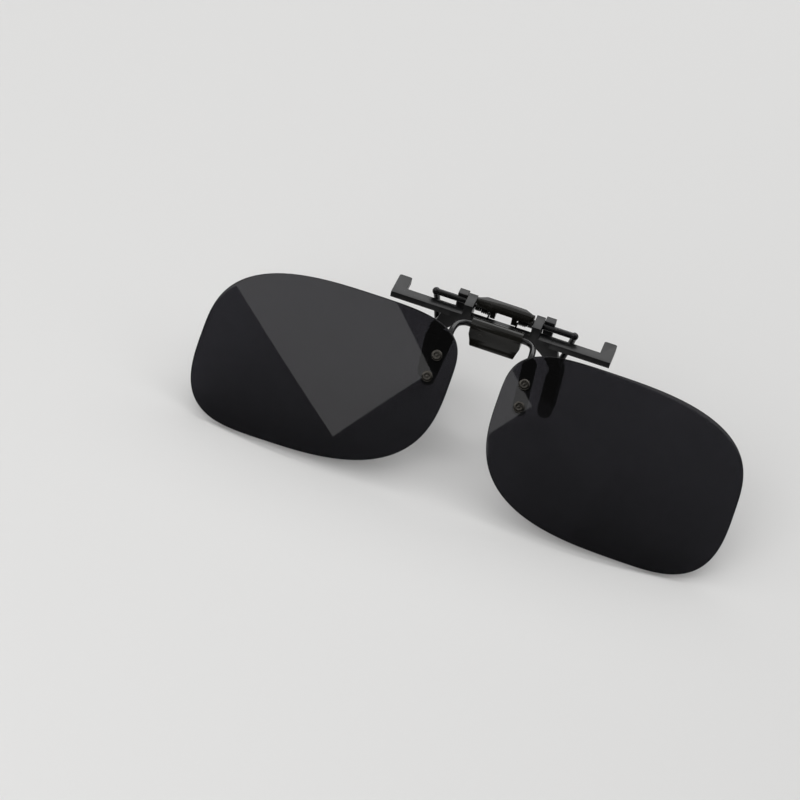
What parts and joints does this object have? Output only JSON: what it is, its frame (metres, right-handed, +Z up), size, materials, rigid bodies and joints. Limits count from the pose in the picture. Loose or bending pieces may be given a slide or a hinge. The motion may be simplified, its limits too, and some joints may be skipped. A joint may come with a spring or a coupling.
{
  "type": "flip-up clip-on sunglasses",
  "caption": "Rimless tinted lenses on a wire flip hinge, carried by a sprung clamp that grips the top of a pair of spectacles.",
  "frame": {"origin": "middle of the shut jaw gap between the front and rear rubber sleeves, on the centre plane, level with the undersides of the two rest tabs", "axes": "+X to the right as seen from the front camera side, along the brow bars; -Y is the front, where the lenses are; +Z up, against the way the legs reach down"},
  "size_m": [0.13, 0.0449, 0.0297],
  "materials": {
    "black_metal": "satin black coated metal",
    "gloss_black": "glossy black coated metal",
    "black_wire": "glossy black coated spring wire",
    "rubber": "matt black rubber",
    "spring_steel": "dark spring steel",
    "screw_metal": "gun-metal, polished dome",
    "smoke_lens": "polarised smoke grey, gloss"
  },
  "bodies": {
    "clamp": {"left_bracket": "black_metal", "right_bracket": "black_metal", "left_brow_bar": "black_metal", "right_brow_bar": "black_metal", "bridge": "black_metal", "hinge_housing": "black_metal", "left_front_sleeve": "rubber", "right_front_sleeve": "rubber", "left_spring": "spring_steel", "right_spring": "spring_steel"},
    "rear_jaw": {"press_plate": "gloss_black", "left_jaw_wire": "black_wire", "right_jaw_wire": "black_wire", "left_hub": "black_metal", "right_hub": "black_metal", "left_rear_sleeve": "rubber", "right_rear_sleeve": "rubber"},
    "lens_frame": {"flip_wire": "black_wire", "left_blade": "black_metal", "right_blade": "black_metal", "left_lens": "smoke_lens", "right_lens": "smoke_lens", "left_screw_upper": "screw_metal", "left_screw_lower": "screw_metal", "right_screw_upper": "screw_metal", "right_screw_lower": "screw_metal", "left_nut_upper": "screw_metal", "left_nut_lower": "screw_metal", "right_nut_upper": "screw_metal", "right_nut_lower": "screw_metal"}
  },
  "joints": [
    {"name": "jaw", "type": "hinge", "parent": "clamp", "child": "rear_jaw", "pos_m": [0, 0.00132, 0.0033], "axis": [1, 0, 0], "range_deg": [0, 16], "stiffness_Nm_per_rad": 0.05, "springref_deg": -22.92, "deforming": ["left_spring", "right_spring"]},
    {"name": "flip", "type": "hinge", "parent": "clamp", "child": "lens_frame", "pos_m": [0, -0.00508, 0.00235], "axis": [-1, 0, 0], "range_deg": [-47.6, 44.4]}
  ]
}
